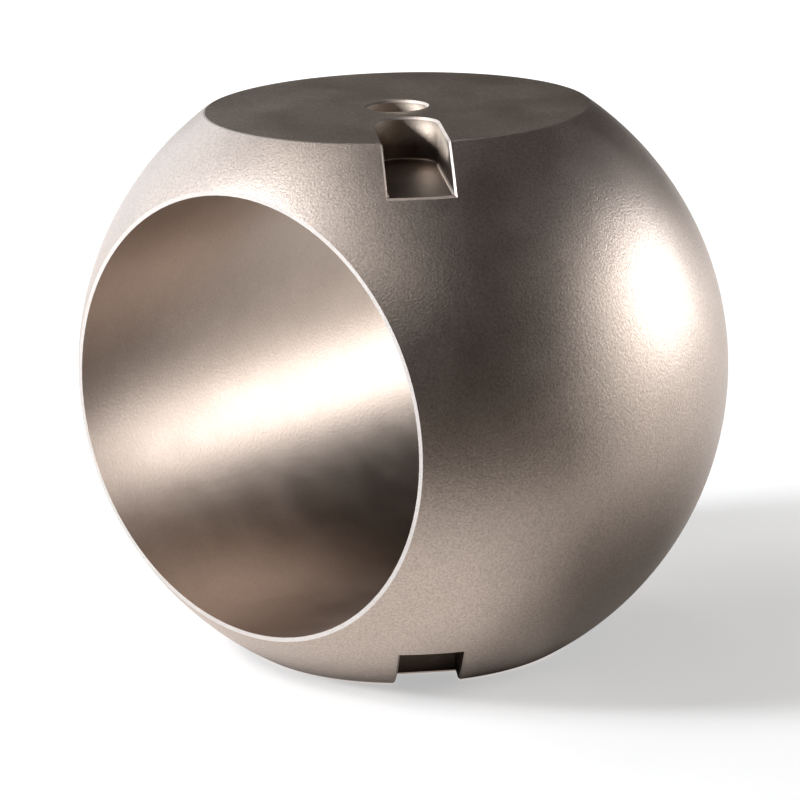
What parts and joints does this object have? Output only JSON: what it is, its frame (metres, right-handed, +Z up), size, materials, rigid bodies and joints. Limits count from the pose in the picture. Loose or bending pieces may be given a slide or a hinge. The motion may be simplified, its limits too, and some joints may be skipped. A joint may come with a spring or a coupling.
{
  "type": "valve ball",
  "caption": "Full-bore steel valve ball with two flats, a pilot hole and a side-open drive slot in the top, and a locating notch in the edge of the bottom.",
  "frame": {"origin": "centre of the sphere, where the stem axis crosses the axis of the flow bore", "axes": "+Z up along the stem axis, through the pilot hole; Y along the flow bore; the drive slot and the notch point halfway between +X and -Y"},
  "size_m": [0.152, 0.1118, 0.1265],
  "materials": {
    "ball_metal": "satin"
  },
  "bodies": {
    "root": {"valve_ball": "ball_metal"}
  },
  "joints": []
}
